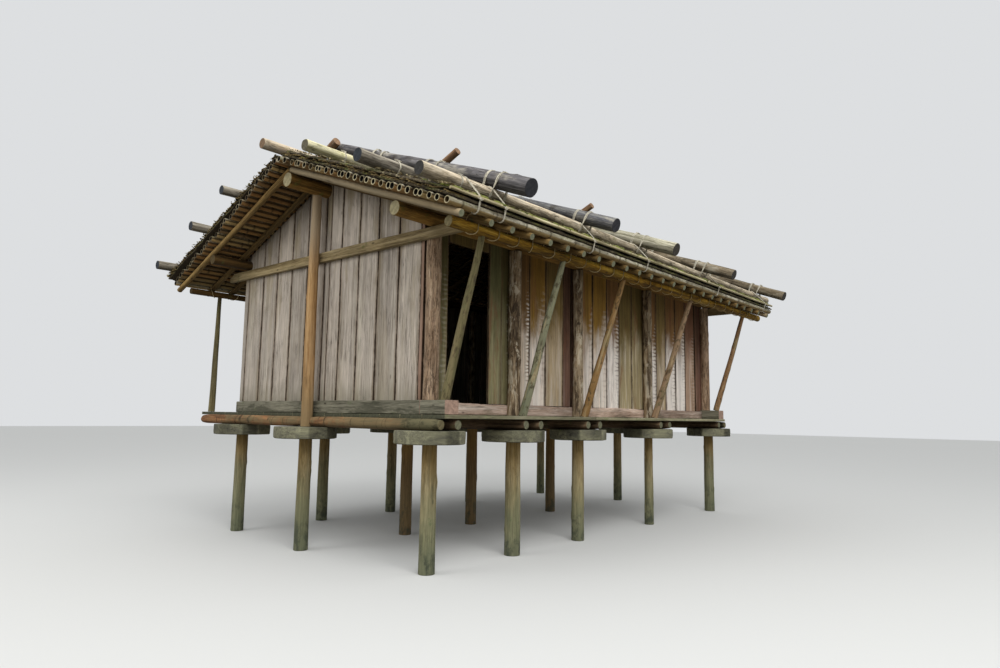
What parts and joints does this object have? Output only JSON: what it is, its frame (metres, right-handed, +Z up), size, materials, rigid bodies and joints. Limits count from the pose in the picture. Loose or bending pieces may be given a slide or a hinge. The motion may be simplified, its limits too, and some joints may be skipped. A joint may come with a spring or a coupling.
{
  "type": "raised granary",
  "caption": "Plank-walled timber store raised on stilts with broad rat guards, under a low bamboo gable roof held down by lashed logs.",
  "frame": {"origin": "centre of the bounding box, at the level of the stilts' feet", "axes": "+X along the door side, away from the gable with the doorway; +Y from the door side to the back; +Z up"},
  "size_m": [7.525, 5.37, 4.512],
  "materials": {
    "stilt_wood": "weathered round timber, green at the foot",
    "guard_wood": "grey weathered slab",
    "bearer_wood": "rough reddish-brown log",
    "deck_wood": "pale weathered boards",
    "sill_wood": "grey weathered beam",
    "gable_wood": "pale grey weathered boards",
    "wall_wood": "bleached amber boards",
    "post_wood": "peeled orange-brown pole",
    "frame_wood": "peeled golden-brown log",
    "rafter_wood": "grey-green pole",
    "bamboo": "dry tan bamboo",
    "roof_cover": "dark rotted thatch with moss",
    "pale_pole_wood": "bleached pale pole",
    "weight_wood": "grey weathered log",
    "cross_pole_wood": "dark grey weathered log",
    "rope": "dry plant-fibre rope"
  },
  "bodies": {
    "root": {"front_stilts": "stilt_wood", "middle_stilts": "stilt_wood", "back_stilts": "stilt_wood", "front_rat_guards": "guard_wood", "gable_rat_guards": "guard_wood", "back_rat_guards": "guard_wood", "floor_bearers": "bearer_wood", "edge_bearers": "bearer_wood", "deck": "deck_wood", "gable_sills": "sill_wood", "front_sill": "sill_wood", "back_sill": "sill_wood", "near_gable_boards": "gable_wood", "far_gable_boards": "gable_wood", "front_corner_posts": "post_wood", "front_wall_posts": "post_wood", "back_wall_posts": "post_wood", "front_boards_corner": "wall_wood", "front_boards_door_side": "wall_wood", "door_head_board": "wall_wood", "front_boards_bay_2": "wall_wood", "front_boards_bay_3": "wall_wood", "front_boards_bay_4": "wall_wood", "back_boards": "wall_wood", "tie_beams": "frame_wood", "ridge_posts": "post_wood", "front_wall_plate": "frame_wood", "back_wall_plate": "frame_wood", "ridge_log": "frame_wood", "front_eave_purlin": "frame_wood", "back_eave_purlin": "frame_wood", "front_braces": "post_wood", "back_eave_posts": "post_wood", "front_rafters": "rafter_wood", "back_rafters": "rafter_wood", "front_culms": "bamboo", "back_culms": "bamboo", "lower_covers": "roof_cover", "upper_covers": "roof_cover", "eave_battens": "pale_pole_wood", "ridge_weight_log": "pale_pole_wood", "front_weight_logs": "weight_wood", "back_weight_logs": "weight_wood", "front_cross_poles": "cross_pole_wood", "back_cross_poles": "cross_pole_wood"}
  },
  "joints": []
}
